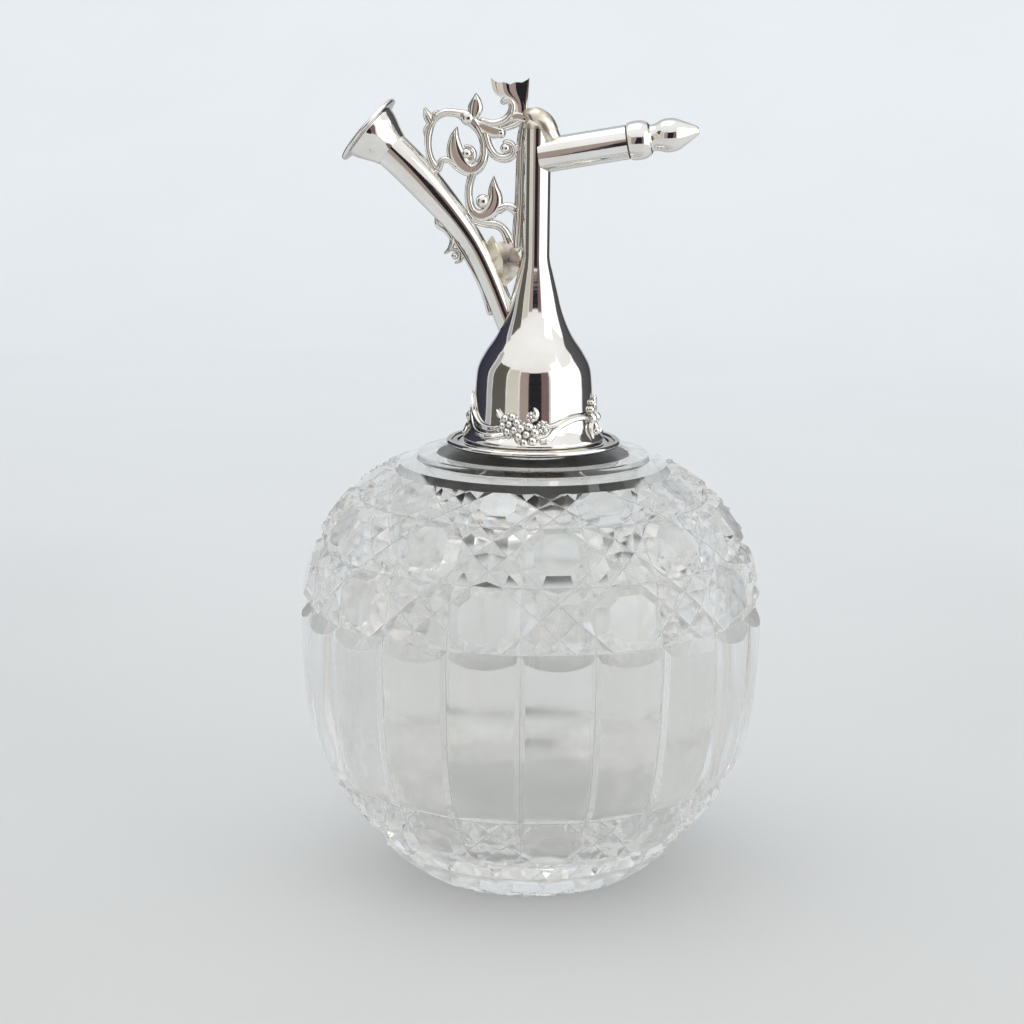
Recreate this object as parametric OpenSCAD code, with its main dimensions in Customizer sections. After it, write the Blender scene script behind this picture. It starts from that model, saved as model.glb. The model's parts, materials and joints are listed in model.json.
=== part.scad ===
// Bulb-operated table perfume atomiser: a cut-glass bottle with a screwed silver head.
// Origin: centre of the base. +Z up, +X towards the nozzle, -X towards the air trumpet, -Y to the front.
// Every length is in millimetres.

/* [Bottle] */
// Largest radius of the glass body
body_r = 57; // [54:0.1:60]
// Radius of the ring that the glass stands on
foot_r = 29; // [24:0.5:31]
// Number of cut columns round the glass
columns = 20; // [16:1:24]
// Depth of the mitre cuts
cut_depth = 1.7; // [0.8:0.1:2.2]
// Thickness of the glass floor
floor_t = 9; // [6:0.5:12]
// Outer radius of the glass neck
neck_r = 10; // [9:0.1:10.2]
// Radius of the neck bore
neck_bore_r = 7.2; // [5:0.1:7.6]
// Height of the top of the neck
neck_top_z = 117.6; // [116:0.1:118]

/* [Collar and cover] */
// Outer radius of the threaded collar
collar_r = 12.3; // [12:0.05:12.5]
// Radial clearance of the screw fit
screw_fit = 0.06; // [0.03:0.01:0.1]
// Rim radius of the saucer flange
saucer_r = 21.3; // [19:0.1:23]
// Foot radius of the bell cover
bell_foot_r = 17.2; // [16:0.1:17.5]
// Wall of the bell cover
bell_wall = 0.8; // [0.5:0.1:1]
// How far the cast ornaments stand out of the bell
relief_t = 1.3; // [0.6:0.1:1.8]

/* [Stem and nozzle] */
// Outer radius of the stem tube
stem_r = 3.4; // [3.2:0.1:3.6]
// Wall of the stem tube
stem_wall = 0.7; // [0.5:0.1:0.9]
// Height of the top of the stem with its dome
stem_top_z = 186.2; // [184:0.1:188]
// Height at which the barrel leaves the stem
barrel_z = 176; // [175:0.1:177]
// Upward tilt of the barrel
barrel_tilt = 10; // [6:0.5:12]
// Outer radius of the barrel
barrel_r = 4.1; // [3.9:0.05:4.3]
// Bore radius of the barrel
barrel_bore_r = 3.3; // [3.1:0.05:3.4]
// Distance from the stem's axis to the barrel's open end
barrel_len = 22.1; // [20:0.1:24]
// Radial clearance of the nozzle tip's shank
tip_fit = 0.05; // [0.03:0.01:0.08]

/* [Tubes] */
// Outer radius of the dip tube
dip_r = 1.6; // [1.4:0.05:1.8]
// Bore radius of the dip tube
dip_bore_r = 1.0; // [0.7:0.05:1.2]
// Outer radius of the liquid tube
liquid_r = 1.2; // [1:0.05:1.3]
// Bore radius of the liquid tube
liquid_bore_r = 0.7; // [0.4:0.05:0.8]

/* [Trumpet] */
// Wall of the air trumpet
trumpet_wall = 0.6; // [0.4:0.1:0.8]
// Radius of the trumpet's rim disc
mouth_r = 9.45; // [8.5:0.05:10]
// Bore radius of the bulb socket
socket_r = 3.5; // [3:0.05:3.8]
// Upward tilt of the mouth's axis
mouth_tilt = 40; // [36:1:44]

/* [Castings] */
// Thickness of the openwork scroll castings
casting_t = 2.2; // [1.6:0.1:2.8]

/* [Hidden] */
$fn = 64;

// Colours
glass = [0.86, 0.92, 0.94, 0.45];
silver = [0.80, 0.80, 0.79];
brass = [0.78, 0.62, 0.32];
cork = [0.66, 0.49, 0.32];
leather = [0.24, 0.15, 0.10];
plaster = [0.86, 0.84, 0.78];

// Heights up the bottle
ring_top_z = 104.6;
deck_z = 104.2;
ring_r = 28.6;
ring_inner_r = 24;
column_phase = 4.5;
mitre_zs = [24, 67.4, 82.8, 95.6];
mitre_half = 3.6;
notch_half_deg = 3.4;
cut_reach = 3;

// Heights up the collar and the cover
saucer_z = 106.4;
bell_z = 107.8;
bush_top_z = 122.4;
bell_top_z = 149.3;
stem_foot_z = 144.5;
washer_t = 1.6;
plug_z = neck_top_z + washer_t;
plug_t = 3;
plug_boss_z = 127;
dip_foot_z = 13;
dip_top_z = plug_z + 2;
bush_bore_r = collar_r + screw_fit;
bush_r = 13.3;
cement_r = 10.6;
cement_z = [108, 117];
collar_z = [106.2, 117.2];
bush_z = 110;
bell_lip_z = bell_z + 0.8;
washer_inner_r = 7.4;
washer_outer_r = 11;
plug_boss_r = 2.6;
socket_fit = 0.05;
air_hole_r = 1;
air_hole_pitch_r = 4.8;
cap_spigot = 2;

// Stations along the barrel's axis, from the stem's axis
barrel_start = 0.9;
shank_start = 17.1;
tip_seal_t = 0.4;
tip_start = barrel_len + tip_seal_t;
jet_start = 15;
jet_overlap = 2;
jet_r = 1.9;
jet_shoulder = 19;
jet_end = 21;
jet_hole_r = 0.25;
jet_tube_r = 1.08;

// The trumpet's centre line in the head's plane, as [x, z, radius]
mouth_seam = [-35.25, 177.2];
mouth_len = 7.9;
disc_t = 1.1;
trumpet_line = [[-5.2, 133, 2.9], [-7.4, 138.3, 2.9], [-9.5, 143.4, 2.9], [-11.9, 148.8, 2.9],
    [-14.8, 154.3, 2.95], [-18, 158.9, 3.25], [-21.8, 163.5, 3.7], [-26.4, 168.6, 4.15],
    [-31.0, 173.3, 4.35], [mouth_seam[0], mouth_seam[1], 4.45]];

// Catmull-Rom blend of four neighbouring points, and a list of points smoothed with it
function blend4(a, b, c, d, t) =
    0.5 * (2 * b + (c - a) * t + (2 * a - 5 * b + 4 * c - d) * t * t + (3 * b - a - 3 * c + d) * t * t * t);
function smooth(pts, steps) = [
    for (i = [0:len(pts) - 2])
        for (k = [0:steps - 1])
            blend4(pts[max(i - 1, 0)], pts[i], pts[i + 1], pts[min(i + 2, len(pts) - 1)], k / steps),
    pts[len(pts) - 1]];
function unit(v) = v / norm(v);
function heading(pts, i) =
    let (d = pts[min(i + 1, len(pts) - 1)] - pts[max(i - 1, 0)]) unit([d[0], d[1]]);

// Outlines of the revolved parts, as [radius, height]
body_outline = smooth([[foot_r, 0], [35, 5.5], [39, 10.2], [45.3, 16.4], [50.1, 24.3], [54, 33],
    [56, 44], [56.8, 56], [body_r, 64], [56.2, 73], [54, 81], [50, 88.9], [43.4, 96.2],
    [36.8, 100.7], [28.8, 103.2]], 3);
cavity_outline = smooth([[0, floor_t], [20, floor_t + 0.5], [34.5, 14], [42.6, 24], [47.2, 40], [48.2, 56],
    [47, 70], [42.6, 82], [34.6, 91], [22, 97], [12, 99.2], [neck_bore_r, 101.6]], 3);
bell_outline = smooth([[bell_foot_r - 0.4, 109], [15.4, 110.8], [14.7, 112.6], [14.4, 116], [14.2, 121],
    [13.6, 125.6], [11.7, 129.4], [8.9, 133.6], [6.7, 138.8], [5.2, 144.6], [4, bell_top_z]], 4);

// Silver castings: strokes are [points, width at the start, width at the end], balls are [x, z, radius]
bracket_strokes = [
    [[[-2.9, 184.2], [-3.9, 180], [-4.3, 172], [-4.6, 164], [-5.4, 153]], 1.3, 1.6],
    [[[-2.7, 188.4], [-3.6, 186.6], [-3.3, 183]], 2.2, 1.4],
    [[[-2.7, 187.4], [-5.4, 187.2], [-6.8, 185.6], [-8.6, 184.2], [-11, 183.5], [-14, 184.2]], 1.6, 1.3],
    [[[-24.6, 173.1], [-26.2, 176.4], [-26.2, 180.6], [-24.2, 184.4], [-20.6, 185.9], [-16.2, 184.9],
        [-12.9, 181.6], [-12.2, 177.6], [-13.6, 174], [-16.4, 172.2], [-19, 173.4], [-19.5, 176.2],
        [-17.4, 177.4]], 1.5, 1.1],
    [[[-19.4, 174.6], [-21.4, 175.7], [-23.4, 174.4], [-23.4, 172.2]], 1.6, 1.0],
    [[[-12.2, 180.8], [-11.2, 177.4], [-8.8, 175.1], [-6.4, 175.7], [-5.9, 177.8], [-7.4, 178.6]], 1.5, 1.0],
    [[[-6.4, 175.8], [-4.2, 175]], 1.1, 1.3],
    [[[-6.2, 178.6], [-4.2, 179.4]], 1.1, 1.3],
    [[[-12.9, 174.2], [-15.2, 171.8], [-16.8, 168.2], [-16.4, 164.4], [-13.8, 161], [-10.8, 160.8],
        [-9.2, 163.4], [-10, 166.2]], 1.5, 1.2],
    [[[-9.4, 163.8], [-7.4, 164.1], [-4.8, 163.2]], 1.3, 1.5],
    [[[-14.3, 159.4], [-10.9, 159.6], [-7.8, 157.9], [-6, 154.6]], 1.5, 1.7],
    [[[-17.6, 162.6], [-15.9, 161], [-14.2, 159.2]], 1.3, 1.4]];
bracket_leaves = [
    [[-9.0, 188.7], [-9.4, 190.1], [-10.4, 191.9], [-11.3, 194.3], [-8.9, 193.9], [-6.6, 192.7],
        [-4.4, 194.3], [-2.1, 194.7], [-2.6, 191.6], [-2.2, 188], [-4.4, 187.4], [-5.8, 189.4], [-7.3, 190.3]],
    [[-19.9, 182.7], [-22, 179.6], [-22, 176.2], [-19.5, 173.9], [-17.9, 175], [-18.6, 177.4], [-18.8, 180]],
    [[-14.8, 190.7], [-16.8, 188.4], [-17, 185.8], [-14.8, 185], [-13.9, 187.2]],
    [[-27.6, 187.2], [-25.2, 186.4], [-23.2, 186.5], [-24.6, 184], [-26.4, 180.4], [-27.6, 181.4],
        [-26.8, 183.6]],
    [[-14.6, 184.6], [-11.4, 183.4], [-8.6, 180.6], [-11.6, 180], [-14, 181.8]],
    [[-10.2, 171.2], [-11.3, 168.6], [-10.8, 165.4], [-9.4, 163.2], [-8.2, 164.4], [-8.6, 167.2]]];
bracket_balls = [[-17, 184.6, 1.7], [-17.2, 177, 1.8], [-7.4, 177.7, 1.35], [-12.6, 165.2, 1.95]];
lower_strokes = [
    [[[-24.2, 160.4], [-21.8, 158.4], [-20.3, 156], [-20.9, 153.6], [-19.6, 152.2]], 1.3, 1.1],
    [[[-21.4, 158.1], [-19.2, 155], [-16.6, 151], [-14.4, 147.2], [-12.6, 143.4], [-10.9, 138.4]], 1.1, 1.4]];
lower_leaves = [[[-24.8, 161.4], [-24.6, 159.3], [-22.4, 158.2], [-20.6, 158.6], [-21.9, 160]]];
lower_balls = [[-19.3, 151.6, 1.35]];

side_scroll_outline = smooth([[1.6, 109.6], [-2.2, 110], [-3, 113.4], [-1.6, 116.4], [0.2, 119.2], [1.4, 116.6],
    [1.9, 114.9], [3.4, 114.7], [3.8, 112.8], [3, 111], [1.6, 109.6]], 3);

// Helpers: a tapered stroke, and a casting that lies flat in the head's plane
module stroke(path, w0, w1) {
    pts = smooth(path, 4);
    last = len(pts) - 1;
    polygon(concat(
        [for (i = [0:last]) let (d = heading(pts, i), w = w0 + (w1 - w0) * i / last)
            pts[i] + [-d[1], d[0]] * w / 2],
        [for (i = [last:-1:0]) let (d = heading(pts, i), w = w0 + (w1 - w0) * i / last)
            pts[i] - [-d[1], d[0]] * w / 2]));
}

module casting(strokes, leaves, balls) {
    for (s = strokes)
        rotate([90, 0, 0]) linear_extrude(casting_t - 0.4, center = true) stroke(s[0], s[1], s[2]);
    for (l = leaves)
        rotate([90, 0, 0]) linear_extrude(casting_t, center = true) polygon(l);
    for (b = balls)
        translate([b[0], 0, b[1]]) sphere(b[2]);
}

module ring(inner, outer, z0, z1) {
    translate([0, 0, z0]) difference() {
        cylinder(h = z1 - z0, r = outer);
        translate([0, 0, -1]) cylinder(h = z1 - z0 + 2, r = inner);
    }
}

// Moves its children so that +Z runs along the barrel, from the stem's axis
module along_barrel() {
    translate([0, 0, barrel_z]) rotate([0, 90 - barrel_tilt, 0]) children();
}

module along_mouth() {
    translate([mouth_seam[0], 0, mouth_seam[1]]) rotate([0, mouth_tilt - 90, 0]) children();
}

// The bell's solid outside, grown outwards by t
module bell_form(t) {
    rotate_extrude() polygon(concat([[0, bell_z], [bell_foot_r + t, bell_z], [bell_foot_r + t, bell_lip_z]],
        [for (p = bell_outline) [p[0] + t, p[1]]], [[0, bell_top_z]]));
}

// A relief on the bell's skirt: a flat outline pushed outwards at one azimuth
module relief(azimuth) {
    difference() {
        intersection() {
            rotate([0, 0, azimuth]) rotate([90, 0, 90]) linear_extrude(25) children();
            bell_form(relief_t);
        }
        bell_form(0);
    }
}

module flower(x, z, r, petals) {
    translate([x, z]) {
        circle(r * 0.55);
        for (i = [0:petals - 1])
            rotate(i * 360 / petals) translate([r * 0.62, 0]) circle(r * 0.42);
    }
}

module garland_cluster() {
    flower(-4.1, 113.2, 2.6, 6);
    flower(0.3, 111, 3.1, 6);
    flower(3.6, 113.4, 1.9, 5);
}

module swag() {
    stroke([[-8.4, 111.4], [-4.5, 113], [0, 112.6], [4.5, 111], [8.4, 111.6]], 1.1, 1.3);
    stroke([[-8.4, 110.2], [-4, 109.4], [1, 110], [5, 112.3], [8.4, 113.4]], 1.0, 1.2);
}

module garland(azimuth) {
    relief(azimuth) garland_cluster();
    relief(azimuth - 33) swag();
    relief(azimuth + 33) mirror([1, 0]) swag();
}

module side_scroll(azimuth) {
    relief(azimuth) polygon(side_scroll_outline);
}

// Sub-parts, from the glass upwards
module bottle() {
    color(glass) intersection() {
        difference() {
            rotate_extrude() polygon(concat([[0, 0]], body_outline,
                [[ring_r, ring_top_z - 0.7], [ring_r - 0.6, ring_top_z], [ring_inner_r, ring_top_z + 0.1],
                [ring_inner_r - 0.6, deck_z], [neck_r, deck_z], [neck_r, neck_top_z], [0, neck_top_z]]));
            rotate_extrude() polygon(concat(cavity_outline,
                [[neck_bore_r, neck_top_z + 1], [0, neck_top_z + 1]]));
            for (z = mitre_zs) mitre_ring(z);
        }
        upright_cuts();
    }
}

// The plan of the body with a V notch at each upright cut
module upright_cuts() {
    step = 360 / columns;
    edge = body_r + 2;
    root = body_r - cut_depth;
    linear_extrude(neck_top_z + 1) polygon([for (i = [0:columns - 1]) let (a = column_phase - 90 + i * step)
        for (corner = [[edge, -notch_half_deg], [root, 0], [edge, notch_half_deg]])
            corner[0] * [cos(a + corner[1]), sin(a + corner[1])]]);
}

function body_radius(z) = lookup(z, [for (p = body_outline) [p[1], p[0]]]);

module mitre_ring(z) {
    r = body_radius(z);
    rotate_extrude() polygon([[r - cut_depth, z], [r + cut_reach, z - mitre_half],
        [r + cut_reach, z + mitre_half]]);
}

module neck_cement() {
    color(plaster) ring(neck_r, cement_r, cement_z[0], cement_z[1]);
}

module neck_collar() {
    color(silver) ring(cement_r, collar_r, collar_z[0], collar_z[1]);
}

module collar_flange() {
    color(silver) rotate_extrude() polygon([[collar_r, saucer_z], [18.4, saucer_z], [20.2, saucer_z],
        [saucer_r - 0.3, saucer_z + 0.3], [saucer_r, saucer_z + 0.8], [saucer_r - 0.3, saucer_z + 1.3],
        [saucer_r - 0.9, saucer_z + 1.4], [19.6, saucer_z + 0.9], [18.4, saucer_z + 0.7],
        [17.7, saucer_z + 1.1], [collar_r, saucer_z + 1.1]]);
}

module neck_washer() {
    color(cork) ring(washer_inner_r, washer_outer_r, neck_top_z, plug_z);
}

module dip_tube() {
    color([0.9, 0.9, 0.88, 0.6]) ring(dip_bore_r, dip_r, dip_foot_z, dip_top_z);
}

module bell_cover() {
    color(silver) difference() {
        bell_form(0);
        rotate_extrude() polygon([[0, bell_z - 1], [bush_r, bell_z - 1], [bush_r, bush_top_z],
            [bush_r - bell_wall / 2, 124.8], [10.8, 129], [8, 133.2], [5.85, 138.4], [4.3, stem_foot_z - 0.4],
            [stem_r, stem_foot_z], [stem_r, bell_top_z + 1], [0, bell_top_z + 1]]);
        trumpet_bore();
    }
}

// The hole that takes the trumpet's straight foot
module trumpet_bore() {
    foot = trumpet_line[0];
    next = trumpet_line[3];
    translate([foot[0], 0, foot[1]])
        rotate([0, -atan2(foot[0] - next[0], next[1] - foot[1]), 0]) cylinder(h = 14, r = foot[2]);
}

module thread_bush() {
    color(brass) ring(bush_bore_r, bush_r, bush_z, bush_top_z);
}

module head_plug() {
    color(brass) difference() {
        union() {
            translate([0, 0, plug_z]) cylinder(h = plug_t, r = bush_bore_r);
            translate([0, 0, plug_z + 1]) cylinder(h = plug_boss_z - plug_z - 1, r = plug_boss_r);
        }
        translate([0, 0, plug_z - 1]) cylinder(h = dip_top_z - plug_z + 1, r = dip_r + socket_fit);
        translate([0, 0, plug_z]) cylinder(h = 12, r = liquid_r);
        for (i = [0:3]) rotate([0, 0, 45 + 90 * i])
            translate([air_hole_pitch_r, 0, plug_z - 1]) cylinder(h = plug_t + 3, r = air_hole_r);
    }
}

module front_garland() {
    color(silver) garland(-90);
}

module back_garland() {
    color(silver) garland(90);
}

module left_scroll() {
    color(silver) side_scroll(180);
}

module right_scroll() {
    color(silver) side_scroll(0);
}

module stem_tube() {
    color(silver) difference() {
        ring(stem_r - stem_wall, stem_r, stem_foot_z, stem_top_z - stem_r);
        along_barrel() cylinder(h = stem_r + 2, r = jet_r);
    }
}

module stem_cap() {
    dome_z = stem_top_z - stem_r;
    color(silver) {
        intersection() {
            translate([0, 0, dome_z]) sphere(stem_r);
            translate([0, 0, dome_z]) cylinder(h = stem_r + 1, r = stem_r + 1);
        }
        translate([0, 0, dome_z - cap_spigot]) cylinder(h = cap_spigot, r = stem_r - stem_wall);
    }
}

module liquid_tube() {
    top_z = barrel_z + 3;
    color(brass) difference() {
        translate([0, 0, dip_top_z]) cylinder(h = top_z - dip_top_z, r = liquid_r);
        translate([0, 0, dip_top_z - 1]) cylinder(h = barrel_z + 2 - dip_top_z, r = liquid_bore_r);
        along_barrel() cylinder(h = 4, r = liquid_bore_r * 0.8);
    }
}

module jet_tube() {
    color(brass) difference() {
        along_barrel() ring(liquid_bore_r, jet_tube_r, 0.2, jet_start);
        translate([0, 0, barrel_z - 4]) cylinder(h = 8, r = liquid_r);
    }
}

module jet() {
    color(brass) along_barrel() rotate_extrude()
        polygon([[jet_tube_r, jet_start - jet_overlap], [jet_r, jet_start - jet_overlap], [jet_r, jet_shoulder],
            [0.8, jet_end], [jet_hole_r, jet_end], [jet_hole_r, jet_shoulder - 1], [jet_tube_r, jet_start]]);
}

module nozzle_barrel() {
    color(silver) difference() {
        along_barrel() ring(barrel_bore_r, barrel_r, barrel_start, barrel_len);
        translate([0, 0, barrel_z - 12]) cylinder(h = 24, r = stem_r);
    }
}

module tip_washer() {
    color(leather) along_barrel() ring(barrel_bore_r, barrel_r - 0.15, barrel_len, tip_start);
}

module nozzle_tip() {
    shank_r = barrel_bore_r - tip_fit;
    finial = smooth([[4.35, tip_start], [4.6, 23.6], [4.55, 25.8], [3.9, 27.3], [3.15, 28], [3.3, 29.3],
        [3.85, 30.8], [4, 32.3], [3.75, 33.9], [3.1, 35.3], [2.2, 36.9], [1.25, 38.6], [0.8, 39.2]], 3);
    color(silver) along_barrel() rotate_extrude() polygon(concat(
        [[shank_r, shank_start], [shank_r, tip_start]], finial,
        [[0.35, 39.2], [0.35, 26], [2.3, 23.4], [2.3, shank_start]]));
}

// The trumpet is a tapered tube that bends, swept ring by ring
module trumpet_tube() {
    line = smooth(trumpet_line, 2);
    rings = len(line);
    sides = 28;
    end_heading = [-cos(mouth_tilt), sin(mouth_tilt)];
    points = [for (wall = [0, trumpet_wall]) for (i = [0:rings - 1]) for (k = [0:sides - 1])
        let (d = i == rings - 1 ? end_heading : heading(line, i), a = k * 360 / sides,
            r = line[i][2] - wall)
        [line[i][0] - d[1] * r * cos(a), r * sin(a), line[i][1] + d[0] * r * cos(a)]];
    function at(wall, i, k) = (wall * rings + i) * sides + k % sides;
    faces = concat(
        [for (i = [0:rings - 2]) for (k = [0:sides - 1]) for (half = [0, 1]) half == 0
            ? [at(0, i, k), at(0, i, k + 1), at(0, i + 1, k + 1)]
            : [at(0, i, k), at(0, i + 1, k + 1), at(0, i + 1, k)]],
        [for (i = [0:rings - 2]) for (k = [0:sides - 1]) for (half = [0, 1]) half == 0
            ? [at(1, i, k), at(1, i + 1, k + 1), at(1, i, k + 1)]
            : [at(1, i, k), at(1, i + 1, k), at(1, i + 1, k + 1)]],
        [for (k = [0:sides - 1]) for (half = [0, 1]) half == 0
            ? [at(0, 0, k), at(1, 0, k + 1), at(0, 0, k + 1)]
            : [at(0, 0, k), at(1, 0, k), at(1, 0, k + 1)]],
        [for (k = [0:sides - 1]) for (half = [0, 1]) half == 0
            ? [at(0, rings - 1, k), at(0, rings - 1, k + 1), at(1, rings - 1, k + 1)]
            : [at(0, rings - 1, k), at(1, rings - 1, k + 1), at(1, rings - 1, k)]]);
    color(silver) polyhedron(points, faces, convexity = 6);
}

module trumpet_mouth() {
    disc_back = mouth_len - disc_t;
    color(silver) along_mouth() rotate_extrude() polygon([[4.6, 0], [5.05, 1.2], [5.7, 2.6], [6.4, 4],
        [6.95, 5.3], [7.3, disc_back], [mouth_r - 0.3, disc_back], [mouth_r, disc_back + 0.3],
        [mouth_r, mouth_len - 0.3], [mouth_r - 0.3, mouth_len], [6.6, mouth_len - 0.4], [4.6, 7],
        [socket_r, 6.2], [socket_r, 0]]);
}

module scroll_bracket() {
    color(silver) difference() {
        casting(bracket_strokes, bracket_leaves, bracket_balls);
        translate([0, 0, 150]) cylinder(h = stem_top_z - stem_r - 150, r = stem_r);
        translate([0, 0, stem_top_z - stem_r]) sphere(stem_r);
    }
}

module lower_scroll() {
    color(silver) difference() {
        casting(lower_strokes, lower_leaves, lower_balls);
        bell_form(0);
    }
}

module trumpet_saddle() {
    color(silver) difference() {
        rotate([90, 0, 0]) linear_extrude(3.4, center = true)
            polygon([[-11.8, 151.6], [-10.9, 154.6], [-11.5, 156.8], [-10, 157.4], [-8.6, 155.9],
                [-5.6, 154.9], [-3.2, 149], [-5.2, 143.6], [-7.4, 142.4]]);
        translate([0, 0, 140]) cylinder(h = 30, r = stem_r);
        bell_form(0);
    }
}

bottle();
neck_cement();
neck_collar();
collar_flange();
neck_washer();
dip_tube();
bell_cover();
thread_bush();
head_plug();
front_garland();
back_garland();
left_scroll();
right_scroll();
stem_tube();
stem_cap();
liquid_tube();
jet_tube();
jet();
nozzle_barrel();
tip_washer();
nozzle_tip();
trumpet_tube();
trumpet_mouth();
scroll_bracket();
lower_scroll();
trumpet_saddle();
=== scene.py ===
"""Looks of the cut-glass and silver table perfume atomiser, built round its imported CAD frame.

Lengths in the shape lists are millimetres, as in the CAD; mm() turns them into metres.
"""
import json
import math

import bmesh
import bpy
from mathutils import Matrix, Vector


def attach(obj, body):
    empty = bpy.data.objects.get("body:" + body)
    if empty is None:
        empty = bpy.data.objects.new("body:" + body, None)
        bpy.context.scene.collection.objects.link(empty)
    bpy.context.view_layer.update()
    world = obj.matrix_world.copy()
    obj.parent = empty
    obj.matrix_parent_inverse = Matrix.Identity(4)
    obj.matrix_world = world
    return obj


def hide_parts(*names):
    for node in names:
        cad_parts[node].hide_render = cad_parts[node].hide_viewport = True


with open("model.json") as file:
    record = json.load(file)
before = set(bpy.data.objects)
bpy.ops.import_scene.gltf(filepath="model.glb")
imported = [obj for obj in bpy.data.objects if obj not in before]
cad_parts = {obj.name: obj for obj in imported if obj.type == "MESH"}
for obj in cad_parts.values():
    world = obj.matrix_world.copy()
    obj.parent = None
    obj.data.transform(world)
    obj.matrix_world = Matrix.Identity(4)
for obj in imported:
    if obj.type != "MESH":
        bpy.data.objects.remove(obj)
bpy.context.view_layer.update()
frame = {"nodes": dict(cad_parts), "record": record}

MM = 0.001
UP = Vector((0, 0, 1))
TAU = 2 * math.pi


def mm(*values):
    return Vector(values) * MM


# ---------------------------------------------------------------- curves and meshes

def blend4(a, b, c, d, t):
    """Catmull-Rom blend of four neighbouring points."""
    square = 2 * a - 5 * b + 4 * c - d
    cube = 3 * b - a - 3 * c + d
    return 0.5 * (2 * b + (c - a) * t + square * t ** 2 + cube * t ** 3)


def circle(radius, sides, z):
    """Points in millimetres round the Z axis, at one height."""
    turns = [TAU * k / sides for k in range(sides)]
    return [mm(radius * math.cos(a), radius * math.sin(a), z) for a in turns]


def smooth(points, steps):
    """The points as Vectors, with a smooth curve through them."""
    pts = [Vector(p) for p in points]
    last = len(pts) - 1
    out = []
    for i in range(last):
        a, b, c, d = pts[max(i - 1, 0)], pts[i], pts[i + 1], pts[min(i + 2, last)]
        out += [blend4(a, b, c, d, k / steps) for k in range(steps)]
    return out + [pts[-1]]


def new_object(name, bm, material):
    """Turns a bmesh into an object in the scene."""
    mesh = bpy.data.meshes.new(name)
    bm.to_mesh(mesh)
    bm.free()
    mesh.materials.append(material)
    obj = bpy.data.objects.new(name, mesh)
    bpy.context.scene.collection.objects.link(obj)
    return obj


def piece(name, bm, body, slot, replaced, crease, material=None):
    """Turns a bmesh into a finished piece that rides on a body and stands for CAD nodes."""
    bmesh.ops.remove_doubles(bm, verts=bm.verts, dist=1e-7)
    bmesh.ops.recalc_face_normals(bm, faces=bm.faces)
    for face in bm.faces:
        face.smooth = True
    limit = math.radians(crease)
    for edge in bm.edges:
        if len(edge.link_faces) == 2:
            edge.smooth = edge.calc_face_angle(0) < limit
    obj = new_object(name, bm, material or MATERIALS[slot])
    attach(obj, body)
    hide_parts(*replaced)
    return obj


def grid_faces(bm, rows, closed_u=True, closed_v=False):
    """Quads between rows of vertices; u runs along a row and v from row to row."""
    count = len(rows)
    for i in range(count if closed_v else count - 1):
        a, b = rows[i], rows[(i + 1) % count]
        width = len(a)
        for k in range(width if closed_u else width - 1):
            corners = list(dict.fromkeys([a[k], a[(k + 1) % width], b[(k + 1) % width], b[k]]))
            if len(corners) > 2:
                bm.faces.new(corners)


def close_sheets(bm, front, back):
    """Faces on two sheets of vertices and round their four edges."""
    grid_faces(bm, front, closed_u=False)
    grid_faces(bm, back, closed_u=False)
    last, width = len(front) - 1, len(front[0]) - 1
    for i in range(last):
        for k in (0, width):
            bm.faces.new([front[i][k], front[i + 1][k], back[i + 1][k], back[i][k]])
    for i in (0, last):
        for k in range(width):
            bm.faces.new([front[i][k], front[i][k + 1], back[i][k + 1], back[i][k]])


def lathe(bm, outline, sides=128, matrix=Matrix.Identity(4), closed=False):
    """Revolves (radius, height) points in millimetres about the matrix's Z axis."""
    rows = []
    for r, z in outline:
        if r < 1e-6:
            rows.append([bm.verts.new(matrix @ mm(0, 0, z))] * sides)
            continue
        rows.append([bm.verts.new(matrix @ p) for p in circle(r, sides, z)])
    grid_faces(bm, rows, closed_v=closed)


def sweep(bm, path, widths, depths=None, sides=12, side_axis=Vector((0, 1, 0)), chasing=0.0):
    """A tube of oval section along a path in metres, with rounded ends and a chased line front and back."""
    turns = [TAU * k / sides for k in range(sides)]
    sunk = [1 - chasing * math.exp(-(math.cos(a) / 0.16) ** 2) for a in turns]
    depths = depths or widths
    last = len(path) - 1
    rows = []
    for i, p in enumerate(path):
        heading = (path[min(i + 1, last)] - path[max(i - 1, 0)]).normalized()
        flat = side_axis.cross(heading).normalized()
        deep = heading.cross(flat).normalized()
        caps = [(0, 1)]
        if i == 0:
            caps = [(-0.9, 0.35), (-0.55, 0.8), (0, 1)]
        if i == last:
            caps = [(0, 1), (0.55, 0.8), (0.9, 0.35)]
        for along, size in caps:
            centre = p + heading * along * widths[i] / 2
            rows.append([bm.verts.new(centre + flat * math.cos(a) * widths[i] / 2 * size
                                      + deep * math.sin(a) * sink * depths[i] / 2 * size)
                         for a, sink in zip(turns, sunk)])
    grid_faces(bm, rows)
    bm.faces.new(rows[0])
    bm.faces.new(rows[-1])


def ball(bm, centre, radius, squash=(1, 1, 1)):
    """A ball in metres, with its three half-axes scaled by squash."""
    rings, sides = 10, 20
    wide, deep, high = (radius * share for share in squash)
    rows = []
    for i in range(rings + 1):
        a = math.pi * i / rings
        lift = high * math.cos(a)
        if i in (0, rings):
            rows.append([bm.verts.new(centre + Vector((0, 0, lift)))] * sides)
            continue
        turns = [TAU * k / sides for k in range(sides)]
        rows.append([bm.verts.new(centre + Vector((wide * math.sin(a) * math.cos(turn),
                                                   deep * math.sin(a) * math.sin(turn), lift)))
                     for turn in turns])
    grid_faces(bm, rows)


BLADE_START = 0.25


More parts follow.
